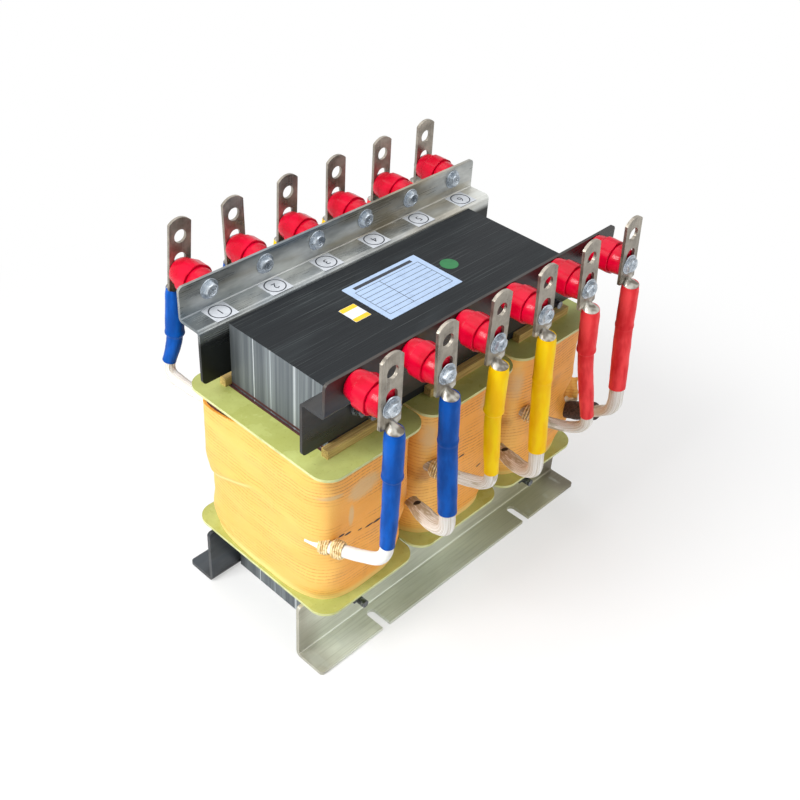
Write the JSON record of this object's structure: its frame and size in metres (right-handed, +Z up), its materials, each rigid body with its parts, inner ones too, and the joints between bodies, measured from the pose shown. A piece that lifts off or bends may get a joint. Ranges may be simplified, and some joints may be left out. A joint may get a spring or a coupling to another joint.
{
  "type": "starting reactor",
  "caption": "Three-phase starting reactor: gapped laminated core, taped coils with coloured tap leads, and tube lugs on red standoff insulators.",
  "frame": {"origin": "floor level under the middle of the part's bounding box", "axes": "+X along the row of coils, +Y from the front terminals to the back ones, +Z up"},
  "size_m": [0.4, 0.3143, 0.3849],
  "materials": {
    "core_steel": "satin",
    "insulation_board": "matt",
    "winding_tape": "satin",
    "laminate_plate": "satin",
    "stick_wood": "matt",
    "base_steel": "satin",
    "bracket_steel": "satin",
    "zinc_fasteners": "bright",
    "standoff_red": "gloss",
    "tinned_copper": "satin",
    "lead_braid": "matt",
    "sleeve_blue": "satin",
    "sleeve_yellow": "satin",
    "sleeve_red": "satin"
  },
  "bodies": {
    "root": {"lower_yoke": "core_steel", "upper_yoke": "core_steel", "gap_spacers": "insulation_board", "left_limb": "core_steel", "left_former": "insulation_board", "left_coil": "winding_tape", "left_lower_plate": "laminate_plate", "left_upper_plate": "laminate_plate", "middle_limb": "core_steel", "middle_former": "insulation_board", "middle_coil": "winding_tape", "middle_lower_plate": "laminate_plate", "middle_upper_plate": "laminate_plate", "right_limb": "core_steel", "right_former": "insulation_board", "right_coil": "winding_tape", "right_lower_plate": "laminate_plate", "right_upper_plate": "laminate_plate", "packing_sticks": "stick_wood", "front_base_angle": "base_steel", "back_base_angle": "base_steel", "front_upper_bracket": "bracket_steel", "back_upper_bracket": "bracket_steel", "clamp_studs": "zinc_fasteners", "clamp_washers": "zinc_fasteners", "clamp_nuts": "zinc_fasteners", "bracket_bolts": "zinc_fasteners", "bracket_washers": "zinc_fasteners", "lug_bolts": "zinc_fasteners", "lug_washers": "zinc_fasteners", "front_standoffs": "standoff_red", "back_standoffs": "standoff_red", "front_lug_1": "tinned_copper", "back_lug_1": "tinned_copper", "front_lead_1": "lead_braid", "back_lead_1": "lead_braid", "front_lug_2": "tinned_copper", "back_lug_2": "tinned_copper", "front_lead_2": "lead_braid", "back_lead_2": "lead_braid", "front_lug_3": "tinned_copper", "back_lug_3": "tinned_copper", "front_lead_3": "lead_braid", "back_lead_3": "lead_braid", "front_lug_4": "tinned_copper", "back_lug_4": "tinned_copper", "front_lead_4": "lead_braid", "back_lead_4": "lead_braid", "front_lug_5": "tinned_copper", "back_lug_5": "tinned_copper", "front_lead_5": "lead_braid", "back_lead_5": "lead_braid", "front_lug_6": "tinned_copper", "back_lug_6": "tinned_copper", "front_lead_6": "lead_braid", "back_lead_6": "lead_braid", "blue_sleeves": "sleeve_blue", "yellow_sleeves": "sleeve_yellow", "red_sleeves": "sleeve_red"}
  },
  "joints": []
}
